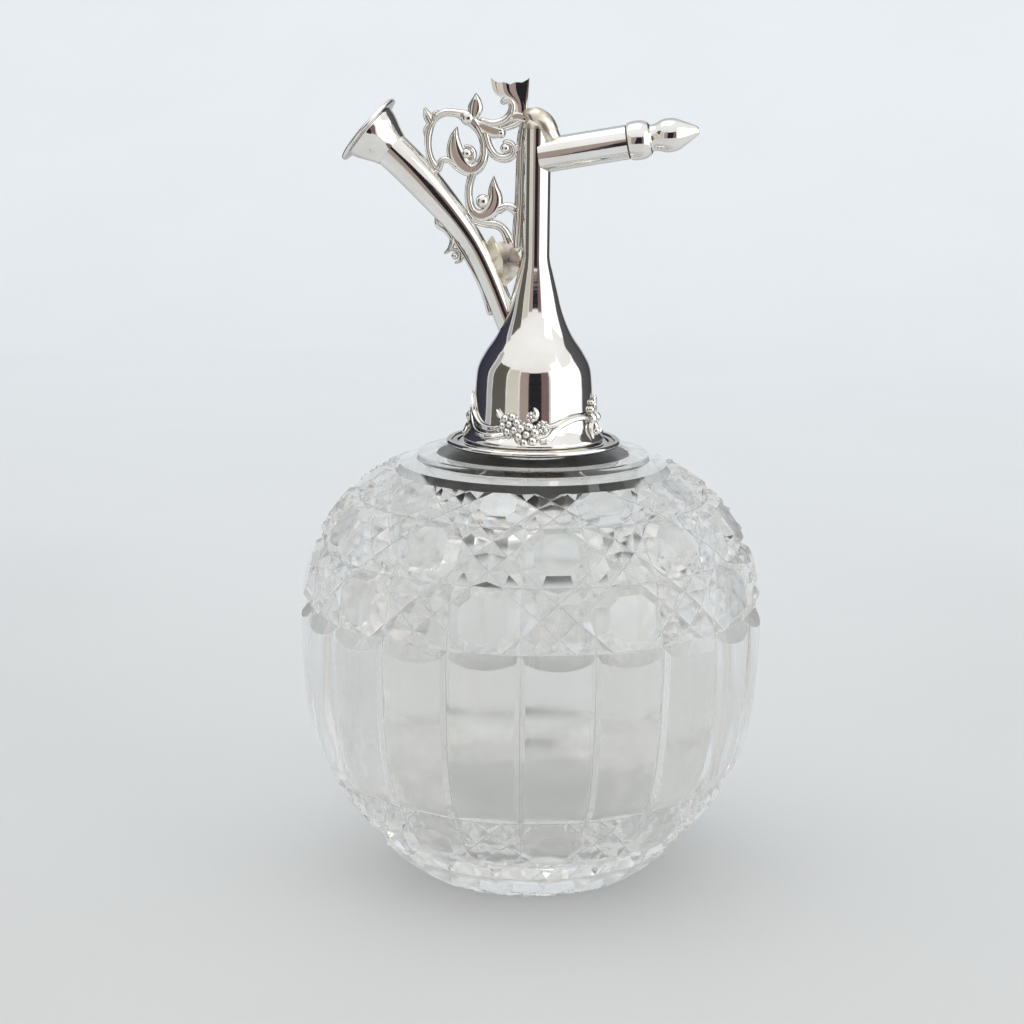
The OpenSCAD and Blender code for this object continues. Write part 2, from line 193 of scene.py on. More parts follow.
def blade(bm, spine, width, thick, normal):
    """A pointed leaf with a raised midrib along a spine in metres; normal faces the viewer of its front."""
    across = 6
    last = len(spine) - 1
    front, back = [], []
    for i, p in enumerate(spine):
        t = i / last
        heading = (spine[min(i + 1, last)] - spine[max(i - 1, 0)]).normalized()
        side = normal.cross(heading).normalized()
        lift = heading.cross(side).normalized()
        bulge = math.sin(math.pi * min(1, t * 0.9 + 0.1) ** 0.9)
        half = width / 2 * max((BLADE_START + (1 - BLADE_START) * bulge) * (1 - t ** 5), 0.03)
        body = thick / 2 * (1 - 0.75 * t)
        f_row, b_row = [], []
        for k in range(-across, across + 1):
            x = k / across
            rib = 0.55 * math.exp(-(x * 4) ** 2) + 0.45 * (1 - x * x)
            f_row.append(p + side * x * half + lift * (body * rib + 0.12 * thick * (1 - abs(x))))
            b_row.append(p + side * x * half - lift * (body * (1 - x * x)))
        front.append([bm.verts.new(v) for v in f_row])
        back.append([bm.verts.new(v) for v in b_row])
    close_sheets(bm, front, back)


# ---------------------------------------------------------------- materials

# The share of the light that a shadow ray gets through the glass
SHADOW_PASS = 0.86


def new_material(name):
    """An empty material with a Principled shader; (material, nodes, links, shader)."""
    material = bpy.data.materials.new(name)
    material.use_nodes = True
    nodes = material.node_tree.nodes
    nodes.clear()
    out = nodes.new("ShaderNodeOutputMaterial")
    shader = nodes.new("ShaderNodeBsdfPrincipled")
    material.node_tree.links.new(shader.outputs[0], out.inputs[0])
    return material, nodes, material.node_tree.links, shader


def noise(nodes, links, scale, detail, coordinates, stretch=None):
    """A noise texture in object space, stretched if asked."""
    mapping = nodes.new("ShaderNodeMapping")
    if stretch:
        mapping.inputs["Scale"].default_value = stretch
    links.new(coordinates.outputs["Object"], mapping.inputs[0])
    texture = nodes.new("ShaderNodeTexNoise")
    texture.inputs["Scale"].default_value = scale
    texture.inputs["Detail"].default_value = detail
    links.new(mapping.outputs[0], texture.inputs["Vector"])
    return texture


def ramp(nodes, links, source, low, high, target=None):
    """A colour ramp between two stops, each (position, colour), linked into target if given."""
    node = nodes.new("ShaderNodeValToRGB")
    for element, stop in zip(node.color_ramp.elements, (low, high)):
        element.position, element.color = stop
    links.new(source, node.inputs[0])
    if target:
        links.new(node.outputs[0], target)
    return node


def multiply(nodes, links, factor, a, b, target):
    """Multiplies colour a by colour b and links the result into target."""
    mix = nodes.new("ShaderNodeMix")
    mix.data_type = "RGBA"
    mix.blend_type = "MULTIPLY"
    mix.inputs["Factor"].default_value = factor
    links.new(a, mix.inputs["A"])
    links.new(b, mix.inputs["B"])
    links.new(mix.outputs["Result"], target)


def grey(v):
    return (v, v, v, 1)


def bump(nodes, links, shader, height, strength, distance):
    """Bump from a height output, with its distance in metres."""
    node = nodes.new("ShaderNodeBump")
    node.inputs["Strength"].default_value = strength
    node.inputs["Distance"].default_value = distance
    links.new(height, node.inputs["Height"])
    links.new(node.outputs[0], shader.inputs["Normal"])


def silver_material(name, tarnish, dents, edge):
    """Polished plate with hairlines: tarnish darkens hollows, dents is the bump, edge the grazing tint."""
    material, nodes, links, shader = new_material(name)
    coordinates = nodes.new("ShaderNodeTexCoord")
    shader.inputs["Metallic"].default_value = 1.0
    shader.inputs["Specular Tint"].default_value = (*edge, 1)
    cloud = noise(nodes, links, 90, 4, coordinates)
    colour = ramp(nodes, links, cloud.outputs["Fac"],
                  (0.30, (0.86, 0.84, 0.79, 1)), (0.62, (0.95, 0.94, 0.92, 1)))
    geometry = nodes.new("ShaderNodeNewGeometry")
    hollow = ramp(nodes, links, geometry.outputs["Pointiness"],
                  (0.40, (0.30, 0.27, 0.23, 1)), (0.495, (1, 1, 1, 1)))
    multiply(nodes, links, tarnish, colour.outputs[0], hollow.outputs[0], shader.inputs["Base Color"])
    hairs = noise(nodes, links, 900, 3, coordinates, (0.15, 1.0, 4.0))
    ramp(nodes, links, hairs.outputs["Fac"],
         (0.35, grey(0.035)), (0.75, grey(0.13)), shader.inputs["Roughness"])
    wave = noise(nodes, links, 70, 2, coordinates)
    height = nodes.new("ShaderNodeMath")
    height.operation = "MULTIPLY_ADD"
    height.inputs[1].default_value = 0.02
    links.new(hairs.outputs["Fac"], height.inputs[0])
    links.new(wave.outputs["Fac"], height.inputs[2])
    bump(nodes, links, shader, height.outputs[0], dents, 0.0005)
    return material


def solder_material():
    """Dull yellowish joints, browner in patches."""
    material, nodes, links, shader = new_material("soft_solder")
    coordinates = nodes.new("ShaderNodeTexCoord")
    shader.inputs["Metallic"].default_value = 1.0
    cloud = noise(nodes, links, 420, 5, coordinates)
    ramp(nodes, links, cloud.outputs["Fac"],
         (0.32, (0.50, 0.42, 0.30, 1)), (0.55, (0.93, 0.88, 0.79, 1)), shader.inputs["Base Color"])
    ramp(nodes, links, cloud.outputs["Fac"], (0.3, grey(0.42)), (0.7, grey(0.2)), shader.inputs["Roughness"])
    bump(nodes, links, shader, cloud.outputs["Fac"], 0.2, 0.0001)
    return material


GLASS_IOR = 1.5


def glass_material(name, tint, dull, film):
    """Clear crystal; dull is the roughness where the film lies and film how much of the glass it covers."""
    material, nodes, links, shader = new_material(name)
    coordinates = nodes.new("ShaderNodeTexCoord")
    shader.inputs["Transmission Weight"].default_value = 1.0
    shader.inputs["IOR"].default_value = GLASS_IOR
    cloud = noise(nodes, links, 45, 4, coordinates)
    clearer = [0.4 + 0.6 * v for v in tint]
    ramp(nodes, links, cloud.outputs["Fac"],
         (0.35, (*tint, 1)), (0.7, (*clearer, 1)), shader.inputs["Base Color"])
    patches = noise(nodes, links, 70, 5, coordinates)
    ramp(nodes, links, patches.outputs["Fac"],
         (0.66 - film, grey(0.0)), (0.95 - film, grey(dull)), shader.inputs["Roughness"])
    lighten_shadow(nodes, links, shader)
    return material


def lighten_shadow(nodes, links, shader):
    """Lets most of the light through to the table, as clear glass does."""
    path = nodes.new("ShaderNodeLightPath")
    share = nodes.new("ShaderNodeMath")
    share.operation = "MULTIPLY"
    share.inputs[1].default_value = SHADOW_PASS
    links.new(path.outputs["Is Shadow Ray"], share.inputs[0])
    clear = nodes.new("ShaderNodeBsdfTransparent")
    mix = nodes.new("ShaderNodeMixShader")
    links.new(share.outputs[0], mix.inputs[0])
    links.new(shader.outputs[0], mix.inputs[1])
    links.new(clear.outputs[0], mix.inputs[2])
    links.new(mix.outputs[0], nodes["Material Output"].inputs[0])


def brass_material():
    """Brass with fine turning lines and darker patches."""
    material, nodes, links, shader = new_material("turned_brass")
    coordinates = nodes.new("ShaderNodeTexCoord")
    shader.inputs["Metallic"].default_value = 1.0
    cloud = noise(nodes, links, 220, 5, coordinates)
    ramp(nodes, links, cloud.outputs["Fac"],
         (0.3, (0.45, 0.29, 0.12, 1)), (0.65, (0.83, 0.62, 0.31, 1)), shader.inputs["Base Color"])
    lines = noise(nodes, links, 1500, 2, coordinates, (0.3, 0.3, 6))
    ramp(nodes, links, lines.outputs["Fac"], (0.3, grey(0.22)), (0.7, grey(0.42)), shader.inputs["Roughness"])
    bump(nodes, links, shader, lines.outputs["Fac"], 0.25, 0.00005)
    return material


def grainy_material(name, dark, light, scale, roughness, depth):
    """Cork, leather, plaster, and the painted shade on the deck under the saucer: two tones in grains, with
    pits.
    """
    material, nodes, links, shader = new_material(name)
    coordinates = nodes.new("ShaderNodeTexCoord")
    cells = nodes.new("ShaderNodeTexVoronoi")
    cells.inputs["Scale"].default_value = scale
    links.new(coordinates.outputs["Object"], cells.inputs["Vector"])
    cloud = noise(nodes, links, scale * 0.7, 6, coordinates)
    ramp(nodes, links, cloud.outputs["Fac"],
         (0.35, (*dark, 1)), (0.65, (*light, 1)), shader.inputs["Base Color"])
    shader.inputs["Roughness"].default_value = roughness
    height = nodes.new("ShaderNodeMath")
    height.operation = "MULTIPLY"
    links.new(cells.outputs["Distance"], height.inputs[0])
    links.new(cloud.outputs["Fac"], height.inputs[1])
    bump(nodes, links, shader, height.outputs[0], 0.6, depth)
    return material


MATERIALS = {
    "silver": silver_material("polished_silver", 0.35, 0.05, (0.55, 0.54, 0.53)),
    "cut_glass": glass_material("cut_crystal", (0.885, 0.883, 0.868), 0.02, 0.1),
    "tube_glass": glass_material("drawn_glass", (0.97, 0.985, 0.98), 0.05, 0.2),
    "brass": brass_material(),
    "cork": grainy_material("cork", (0.30, 0.18, 0.09), (0.62, 0.44, 0.27), 900, 0.85, 0.0003),
    "leather": grainy_material("leather", (0.05, 0.03, 0.02), (0.16, 0.10, 0.07), 1400, 0.6, 0.0001),
    "plaster": grainy_material("plaster", (0.60, 0.56, 0.49), (0.86, 0.83, 0.77), 700, 0.9, 0.0001),
}
CAST_SILVER = silver_material("cast_silver", 0.9, 0.3, (0.12, 0.11, 0.10))
SOLDER = solder_material()
INNER_GLASS = glass_material("misted_inside", (0.92, 0.915, 0.90), 0.17, 0.5)
GROUND_LINE = glass_material("ground_line", (0.72, 0.715, 0.70), 0.35, 0.6)
# Painted shade: a near-black grainy coat on the glass deck under the saucer, standing in for the shadow in
# the gap there
PAINTED_DECK_SHADE = grainy_material("painted_shade_under_saucer", (0.015, 0.015, 0.015), (0.10, 0.09, 0.08), 500, 0.35, 0.0001)


# ---------------------------------------------------------------- the cut-glass bottle

# Radii and heights in millimetres; CHAMFER to CUT_LINE are shares of a cell of the cutting
COLUMNS = 20
COLUMN = TAU / COLUMNS
PHASE = math.radians(4.5)
FOOT_R = 29
BODY = smooth([(FOOT_R, 0), (35, 5.5), (39, 10.2), (45.3, 16.4), (50.1, 24.3), (54, 33), (56, 44),
               (56.8, 56), (57, 64), (56.2, 73), (54, 81), (50, 88.9), (43.4, 96.2), (36.8, 100.7),
               (28.8, 103.2)], 24)
CAVITY = [(0, 9), (20, 9.5), (34.5, 14), (42.6, 24), (47.2, 40), (48.2, 56), (47, 70), (42.6, 82), (34.6, 91),
          (22, 97), (12, 99.2), (7.2, 101.6)]
# The heights between which each row of buttons and stars runs, the lower row first
ROWS = [(11, 24.3), (67.4, 82.8), (82.8, 95.4), (95.4, 101.6)]
NECK_BORE_R = 7.2
NECK_R = 10
NECK_TOP = 117.6
DECK_Z = 104.2
# The radius out to which the deck under the saucer is painted dark as shade
PAINTED_SHADE_R = 23.6
CHAMFER = 0.26
BEVEL = 0.17
DEPTH = 0.125
CUT_LINE = 0.008
# Material slots of the bottle; 0 is clear crystal, and 2 is the painted shade on the deck under the saucer
INNER_SLOT, PAINTED_SHADE_SLOT, GROUND_SLOT = 1, 2, 3

LENGTHS = [0.0]
for before, after in zip(BODY, BODY[1:]):
    LENGTHS.append(LENGTHS[-1] + (after - before).length)


def length_at(z):
    """How far up the outline a height lies."""
    for i in range(len(BODY) - 1):
        if BODY[i][1] <= z <= BODY[i + 1][1]:
            t = (z - BODY[i][1]) / (BODY[i + 1][1] - BODY[i][1])
            return LENGTHS[i] + t * (LENGTHS[i + 1] - LENGTHS[i])
    return LENGTHS[-1]


def outline_at(s):
    """(radius, height, outward normal) at a length s up the outline."""
    for i in range(len(BODY) - 1):
        if s <= LENGTHS[i + 1] or i == len(BODY) - 2:
            t = (s - LENGTHS[i]) / (LENGTHS[i + 1] - LENGTHS[i])
            p = BODY[i].lerp(BODY[i + 1], t)
            ahead = BODY[min(i + 2, len(BODY) - 1)] - BODY[max(i - 1, 0)]
            return p[0], p[1], Vector((ahead[1], -ahead[0])).normalized()


def on_glass(u, s, height):
    """A point on the body: u columns round, s millimetres up the outline, height above the skin."""
    r, z, out = outline_at(s)
    r += out[0] * height
    z += out[1] * height
    a = PHASE + u * COLUMN
    return mm(r * math.sin(a), -r * math.cos(a), z)


def cell_size(s):
    """A column's width at a length s up the outline."""
    return outline_at(s)[0] * COLUMN


def inset(polygon, distance):
    """A convex polygon moved inwards by a distance, or None where it would vanish."""
    count = len(polygon)
    lines = []
    for i in range(count):
        a, b = polygon[i], polygon[(i + 1) % count]
        d = (b - a).normalized()
        inward = Vector((-d[1], d[0]))
        lines.append((a + inward * distance, d))
    out = []
    for i in range(count):
        (p, d), (q, e) = lines[i - 1], lines[i]
        cross = d[0] * e[1] - d[1] * e[0]
        if abs(cross) < 1e-9:
            return None
        w = q - p
        out.append(p + d * ((w[0] * e[1] - w[1] * e[0]) / cross))
    for i in range(count):
        if (out[(i + 1) % count] - out[i]).dot(lines[i][1]) <= 1e-4:
            return None
    return out


def islands(button):
    """What the mitre cuts leave standing in one cell: an octagon button, or an eight-part star."""
    c, m = CHAMFER, 0.5
    corner = [[(0, 0), (c, 0), (0, c)]]
    if button:
        shapes = [[(c, 0), (1 - c, 0), (1, c), (1, 1 - c), (1 - c, 1), (c, 1), (0, 1 - c), (0, c)]]
    else:
        shapes = [[(m, m - c), (m + c, m), (m, m + c), (m - c, m)]]
        corner = [[(0, 0), (c, 0), (m, m - c), (m - c, m), (0, c)], [(c, 0), (1 - c, 0), (m, m - c)]]
    for shape in corner:
        turned = [Vector(p) for p in shape]
        for _ in range(4):
            shapes.append([tuple(p) for p in turned])
            turned = [Vector((1 - p[1], p[0])) for p in turned]
    return [[Vector(p) for p in shape] for shape in shapes]


class Skin:
    """Collects the body's vertices, so that neighbouring facets share them."""

    def __init__(self):
        self.bm = bmesh.new()
        self.known = {}

    def vertex(self, point):
        key = tuple(round(c * 1e6) for c in point)
        if key not in self.known:
            self.known[key] = self.bm.verts.new(point)
        return self.known[key]

    def face(self, points, slot=0):
        verts = list(dict.fromkeys(self.vertex(p) for p in points))
        if len(verts) > 2 and not self.bm.faces.get(verts):
            self.bm.faces.new(verts).material_index = slot


def cut_cell(skin, column, s0, s1, button):
    """One cell of the button-and-star cutting."""
    def place(p, height):
        """A point of the cell, with its height in cells above the skin."""
        s = s0 + p[1] * (s1 - s0)
        return on_glass(column + p[0], s, height * cell_size(s))

    for shape in islands(button):
        centre = sum(shape, Vector((0, 0))) / len(shape)
        reach = min(abs((b - a).normalized().cross(centre - a)) for a, b in zip(shape, shape[1:] + shape[:1]))
        top = inset(shape, BEVEL)
        count = len(shape)
        if top is None:
            peak = place(centre, DEPTH * (min(reach / BEVEL, 1) - 1))
            for i in range(count):
                skin.face([place(shape[i], -DEPTH), place(shape[(i + 1) % count], -DEPTH), peak])
            continue
        middle = place(sum(top, Vector((0, 0))) / count, 0)
        line = inset(shape, CUT_LINE)
        lift = -DEPTH * (1 - CUT_LINE / BEVEL)
        for i in range(count):
            j = (i + 1) % count
            skin.face([place(shape[i], -DEPTH), place(shape[j], -DEPTH),
                       place(line[j], lift), place(line[i], lift)], GROUND_SLOT)
            skin.face([place(line[i], lift), place(line[j], lift), place(top[j], 0), place(top[i], 0)])
            skin.face([place(top[i], 0), place(top[j], 0), middle])


# Where the upright lines of a column's mesh and the ends of its islands lie, as shares of its width
STATIONS = [0, CUT_LINE, 0.035, 0.07, 0.16, 0.26, 0.38, 0.5, 0.62, 0.74, 0.84, 0.93, 0.965, 1 - CUT_LINE, 1]
KNOTS = [0, CHAMFER, 1 - CHAMFER, 1]


def on_chord(column, s, t):
    """A point on the straight groove bottom between the knots that the cells share."""
    low = max(k for k in KNOTS if k <= t + 1e-9)
    high = min(k for k in KNOTS if k >= t - 1e-9)
    a = on_glass(column + low, s, -DEPTH * cell_size(s))
    if high == low:
        return a
    b = on_glass(column + high, s, -DEPTH * cell_size(s))
    return a.lerp(b, (t - low) / (high - low))


# The upright grooves are shares of a column wide; the rest is in millimetres
GROOVE_HALF = 0.07
GROOVE_DEPTH = 1.0
CROWN = 0.85
MITRE_HALF = 3.3
MITRE_DEPTH = 1.9


def pillar_height(t):
    """The crowned face of a pillar, with half a V groove at each side."""
    if t < GROOVE_HALF or t > 1 - GROOVE_HALF:
        edge = min(t, 1 - t) / GROOVE_HALF
        return -CROWN - GROOVE_DEPTH * (1 - edge)
    x = (t - 0.5) / (0.5 - GROOVE_HALF)
    return -CROWN * x * x


def pillar(skin, column, s0, s1):
    """One smooth upright between the lower row and the upper rows."""
    rows = 14
    table = []
    for t in STATIONS:
        h = pillar_height(t)
        trim = max(MITRE_HALF * (1 + h / MITRE_DEPTH), 0.12)
        low, high = s0 + trim, s1 - trim
        ladder = [on_chord(column, s0, t)]
        ladder += [on_glass(column + t, low + (high - low) * k / rows, h) for k in range(rows + 1)]
        ladder.append(on_chord(column, s1, t))
        table.append(ladder)
    for i, (a, b) in enumerate(zip(table, table[1:])):
        slot = GROUND_SLOT if i in (0, len(table) - 2) else 0
        for k in range(rows + 2):
            skin.face([a[k], b[k], b[k + 1], a[k + 1]], slot)


def foot_facets(skin, column, s0):
    """Blocky cuts from the lower row down to the ring that the bottle stands on."""
    knots = [on_chord(column, s0, k) for k in KNOTS]
    s_mid, s_low = length_at(6.4), length_at(3.0)
    left, right = on_glass(column, s_mid, -0.4), on_glass(column + 1, s_mid, -0.4)
    tip = on_glass(column + 0.5, s_low, 0.5)
    shoulder = on_glass(column + 0.5, length_at(8.6), 0.9)
    base = [on_glass(column + k, 0, 0) for k in (0, 0.5, 1)]
    skin.face([knots[1], knots[2], shoulder])
    skin.face([knots[0], knots[1], shoulder, left])
    skin.face([knots[2], knots[3], right, shoulder])
    skin.face([left, shoulder, tip])
    skin.face([shoulder, right, tip])
    skin.face([left, tip, base[1], base[0]])
    skin.face([tip, right, base[2], base[1]])
    for k in (0, 0.5):
        ring = [(base[int(k * 2)], base[int(k * 2) + 1])]
        for radius, low, high in ((26, 0.4, 0.4), (23, 2.2, 1.2), (8, 2.6, 1.8)):
            points = []
            for j in (k, k + 0.5):
                a = PHASE + (column + j) * COLUMN
                z = high if j == 0.5 else low
                points.append(mm(radius * math.sin(a), -radius * math.cos(a), z))
            ring.append(tuple(points))
        for (a, b), (c, d) in zip(ring, ring[1:]):
            skin.face([a, b, d, c])
        skin.face([ring[-1][0], ring[-1][1], mm(0, 0, 2.2)])


def shoulder_and_neck(skin, column, s_top):
    """The plain shoulder, the raised ring, the deck under the saucer, and the neck."""
    ring = [(28.75, 103.35), (28.6, 103.8), (28.5, 104.4), (28.0, 104.6), (24.2, 104.7), (23.9, 104.55),
            (23.5, DECK_Z), (NECK_R + 0.2, DECK_Z), (NECK_R, DECK_Z + 0.2), (NECK_R, NECK_TOP - 0.3),
            (NECK_R - 0.3, NECK_TOP), (NECK_BORE_R + 0.3, NECK_TOP), (NECK_BORE_R, NECK_TOP - 0.3),
            (NECK_BORE_R, 101.6)]
    inner = [(p[0], p[1]) for p in reversed(smooth(CAVITY, 6))]
    previous = None
    for t in STATIONS:
        a = PHASE + (column + t) * COLUMN
        ladder = [on_chord(column, s_top, t)]
        rest = LENGTHS[-1] - s_top - 1.7
        ladder += [on_glass(column + t, s_top + 1.7 + rest * k / 4, 0) for k in range(5)]
        ladder += [mm(r * math.sin(a), -r * math.cos(a), z) for r, z in ring + inner[1:]]
        if previous:
            for k in range(len(ladder) - 1):
                skin.face([previous[k], ladder[k], ladder[k + 1], previous[k + 1]])
        previous = ladder


def build_bottle():
    """The bottle as one closed skin, with the inner wall and the deck under the saucer, painted near-black as
    shade, in their own materials.
    """
    skin = Skin()
    spans = [(length_at(a), length_at(b)) for a, b in ROWS]
    for column in range(COLUMNS):
        for row, (s0, s1) in enumerate(spans):
            cut_cell(skin, column, s0, s1, (column + row) % 2 == 0)
        pillar(skin, column, spans[0][1], spans[1][0])
        foot_facets(skin, column, spans[0][0])
        shoulder_and_neck(skin, column, spans[-1][1])
    bottle = piece("cut_glass_bottle", skin.bm, "bottle", "cut_glass", ["bottle"], crease=11)
    bottle.data.materials.append(INNER_GLASS)
    bottle.data.materials.append(PAINTED_DECK_SHADE)
    bottle.data.materials.append(GROUND_LINE)
    wall = smooth(CAVITY, 6)
    for polygon in bottle.data.polygons:
        x, y, z = polygon.center / MM
        r = math.hypot(x, y)
        inside = [p[0] for p in wall if p[1] >= z][:1] or [NECK_BORE_R]
        if z > CAVITY[0][1] - 1 and r < inside[0] + 1.2:
            polygon.material_index = INNER_SLOT
        # The deck under the saucer takes the painted shade
        if DECK_Z - 0.1 < z < DECK_Z + 0.1 and NECK_R < r < PAINTED_SHADE_R:
            polygon.material_index = PAINTED_SHADE_SLOT


# ---------------------------------------------------------------- silver on the neck

COLLAR_R = 12.3
COLLAR_INNER_R = 10.6
BUSH_R = 12.42
BUSH_OUTER_R = 13.3
THREAD_PITCH = 2.0
SAUCER_R = 21.3
SAUCER_Z = 106.4


def threaded_wall(bm, radius, depth, z0, z1, plain_r):
    """A helical thread on a cylinder wall, inwards where depth is positive, closed by a plain wall."""
    sides, rows = 96, 88
    table = []
    for i in range(rows + 1):
        z = z0 + (z1 - z0) * i / rows
        fade = min(1, (z - z0) / 1.2, (z1 - z) / 1.2)
        row = []
        for k in range(sides):
            turn = k / sides
            wave = 0.5 - 0.5 * math.cos(TAU * (z / THREAD_PITCH - turn))
            r = radius - depth * fade * wave ** 0.7
            row.append(bm.verts.new(mm(r * math.cos(TAU * turn), r * math.sin(TAU * turn), z)))
        table.append(row)
    for z in (z1, z0):
        table.append([bm.verts.new(p) for p in circle(plain_r, sides, z)])
    grid_faces(bm, table, closed_v=True)


def build_collar():
    """The collar's outer thread and the bush's inner thread."""
    bm = bmesh.new()
    threaded_wall(bm, COLLAR_R, 0.55, 107.6, 117.1, COLLAR_INNER_R)
    piece("threaded_collar", bm, "bottle", "silver", ["neck_collar"], crease=40)
    bm = bmesh.new()
    threaded_wall(bm, BUSH_R, -0.45, 110.1, 122.3, BUSH_OUTER_R)
    piece("threaded_bush", bm, "head", "brass", ["thread_bush"], crease=40)


def build_saucer():
    """The flange under the bell, with a rolled rim and a small step."""
    z = SAUCER_Z
    bm = bmesh.new()
    rim = [(SAUCER_R - 0.75 + 0.72 * math.cos(a), z + 0.75 + 0.68 * math.sin(a))
           for a in [math.radians(d) for d in range(-90, 181, 15)]]
    outline = [(COLLAR_R + 0.02, z + 0.05), (19.6, z + 0.02)] + rim + [
        (19.6, z + 0.62), (19.0, z + 0.5), (18.3, z + 0.6), (17.95, z + 0.95), (17.6, z + 1.1),
        (COLLAR_R + 0.02, z + 1.1)]
    lathe(bm, outline, 160, closed=True)
    piece("saucer_flange", bm, "bottle", "silver", ["collar_flange"], crease=50)


# ---------------------------------------------------------------- the head

STEM_R = 3.4
STEM_BORE_R = 2.7
STEM_FOOT = 144.6
STEM_TOP = 182.75
DOME_Z = 182.8
BELL_FOOT_R = 17.2
BELL_Z = 107.8
BELL = smooth([(16.8, 109), (15.4, 110.8), (14.7, 112.6), (14.4, 116), (14.2, 121), (13.6, 125.6),
               (11.7, 129.4), (8.9, 133.6), (6.7, 138.8), (5.2, 144.6), (4, 149.3)], 10)


def bell_radius(z):
    """The bell's radius at a height."""
    for a, b in zip(BELL, BELL[1:]):
        if a[1] <= z <= b[1]:
            return a[0] + (b[0] - a[0]) * (z - a[1]) / (b[1] - a[1])
    return BELL[0][0] if z < BELL[0][1] else BELL[-1][0]


def build_bell():
    """The spun bell, from its foot up to the fillet round the stem, and its hollow."""
    bm = bmesh.new()
    foot = [(13.35, BELL_Z), (16.9, BELL_Z), (17.15, BELL_Z + 0.15), (BELL_FOOT_R, BELL_Z + 0.5),
            (17.1, BELL_Z + 0.85)]
    inside = [(3.45, 149.2), (3.45, 144.6), (4.3, 144.0), (5.85, 138.4), (8.0, 133.2), (10.8, 129),
              (12.9, 124.8), (13.3, 122.5), (13.32, 112)]
    fillet = [(3.75, 150.2), (3.55, 151.2), (3.42, 152.2)]
    lathe(bm, foot + [(p[0], p[1]) for p in BELL] + fillet + inside, 192, closed=True)
    piece("bell", bm, "head", "silver", ["bell_cover"], crease=32)


def build_stem():
    """The stem's tube, and its domed cap with the fillet of solder that runs over to the barrel."""
    bm = bmesh.new()
    lathe(bm, [(STEM_BORE_R, STEM_FOOT), (STEM_R, STEM_FOOT), (STEM_R, 160), (STEM_R, 172),
               (STEM_R, STEM_TOP), (STEM_BORE_R, STEM_TOP)], 96, closed=True)
    piece("stem", bm, "head", "silver", ["stem_tube"], crease=40)
    bm = bmesh.new()
    dome = [(STEM_R * math.cos(a), DOME_Z + STEM_R * math.sin(a))
            for a in [math.radians(d) for d in range(0, 90, 6)]]
    lathe(bm, [(0, 180.9), (2.65, 180.9), (2.65, DOME_Z)] + dome + [(0, DOME_Z + STEM_R)], 96)
    line = smooth([(-2.2, 186.1), (-0.5, 185.4), (1.5, 183.7), (3.1, 181.1), (5, 179)], 4)
    fillet = [mm(p[0], 0, p[1]) for p in line]
    last = len(fillet) - 1
    swell = [1.6 + 4.2 * math.sin(math.pi * (0.1 + 0.8 * i / last)) for i in range(last + 1)]
    sweep(bm, fillet, [w * MM for w in swell], [(w + 0.9) * MM for w in swell], sides=28)
    piece("stem_dome", bm, "head", "silver", ["stem_cap"], crease=60, material=SOLDER)


BARREL_Z = 176
BARREL_TILT = math.radians(10)
BARREL = Matrix.Translation(mm(0, 0, BARREL_Z)) @ Matrix.Rotation(math.pi / 2 - BARREL_TILT, 4, "Y")
FINIAL = [(4.35, 22.5), (4.6, 23.6), (4.55, 25.8), (3.9, 27.3), (3.15, 28), (3.3, 29.3), (3.85, 30.8),
          (4, 32.3), (3.75, 33.9), (3.1, 35.3), (2.2, 36.9), (1.25, 38.6)]


def build_tip():
    """The turned tip with its spray hole, and the spigot that screws into the barrel."""
    bm = bmesh.new()
    nose = [(0.95, 39.0), (0.7, 39.2), (0.36, 39.15), (0.35, 26), (2.3, 23.4), (2.3, 17.1)]
    outline = [(3.1, 17.1), (3.25, 17.3), (3.25, 22.5), (4.1, 22.52)]
    lathe(bm, outline + [(p[0], p[1]) for p in smooth(FINIAL, 8)] + nose, 96, BARREL, closed=True)
    piece("finial_tip", bm, "tip", "silver", ["nozzle_tip"], crease=40)


# The trumpet's centre line as (x, z, outer radius), up to its mouth
TRUMPET = [(-5.2, 133, 2.9), (-7.4, 138.3, 2.9), (-9.5, 143.4, 2.9), (-11.9, 148.8, 2.9),
           (-14.8, 154.3, 2.95), (-18, 158.9, 3.25), (-21.8, 163.5, 3.7), (-26.4, 168.6, 4.15),
           (-31.0, 173.3, 4.35), (-35.25, 177.2, 4.45)]
TRUMPET_WALL = 0.6
MOUTH_TILT = math.radians(40)
MOUTH_PLACE = mm(TRUMPET[-1][0], 0, TRUMPET[-1][1])
MOUTH = Matrix.Translation(MOUTH_PLACE) @ Matrix.Rotation(MOUTH_TILT - math.pi / 2, 4, "Y")
MOUTH_LEN = 7.9
MOUTH_R = 9.45
SOCKET_R = 3.5


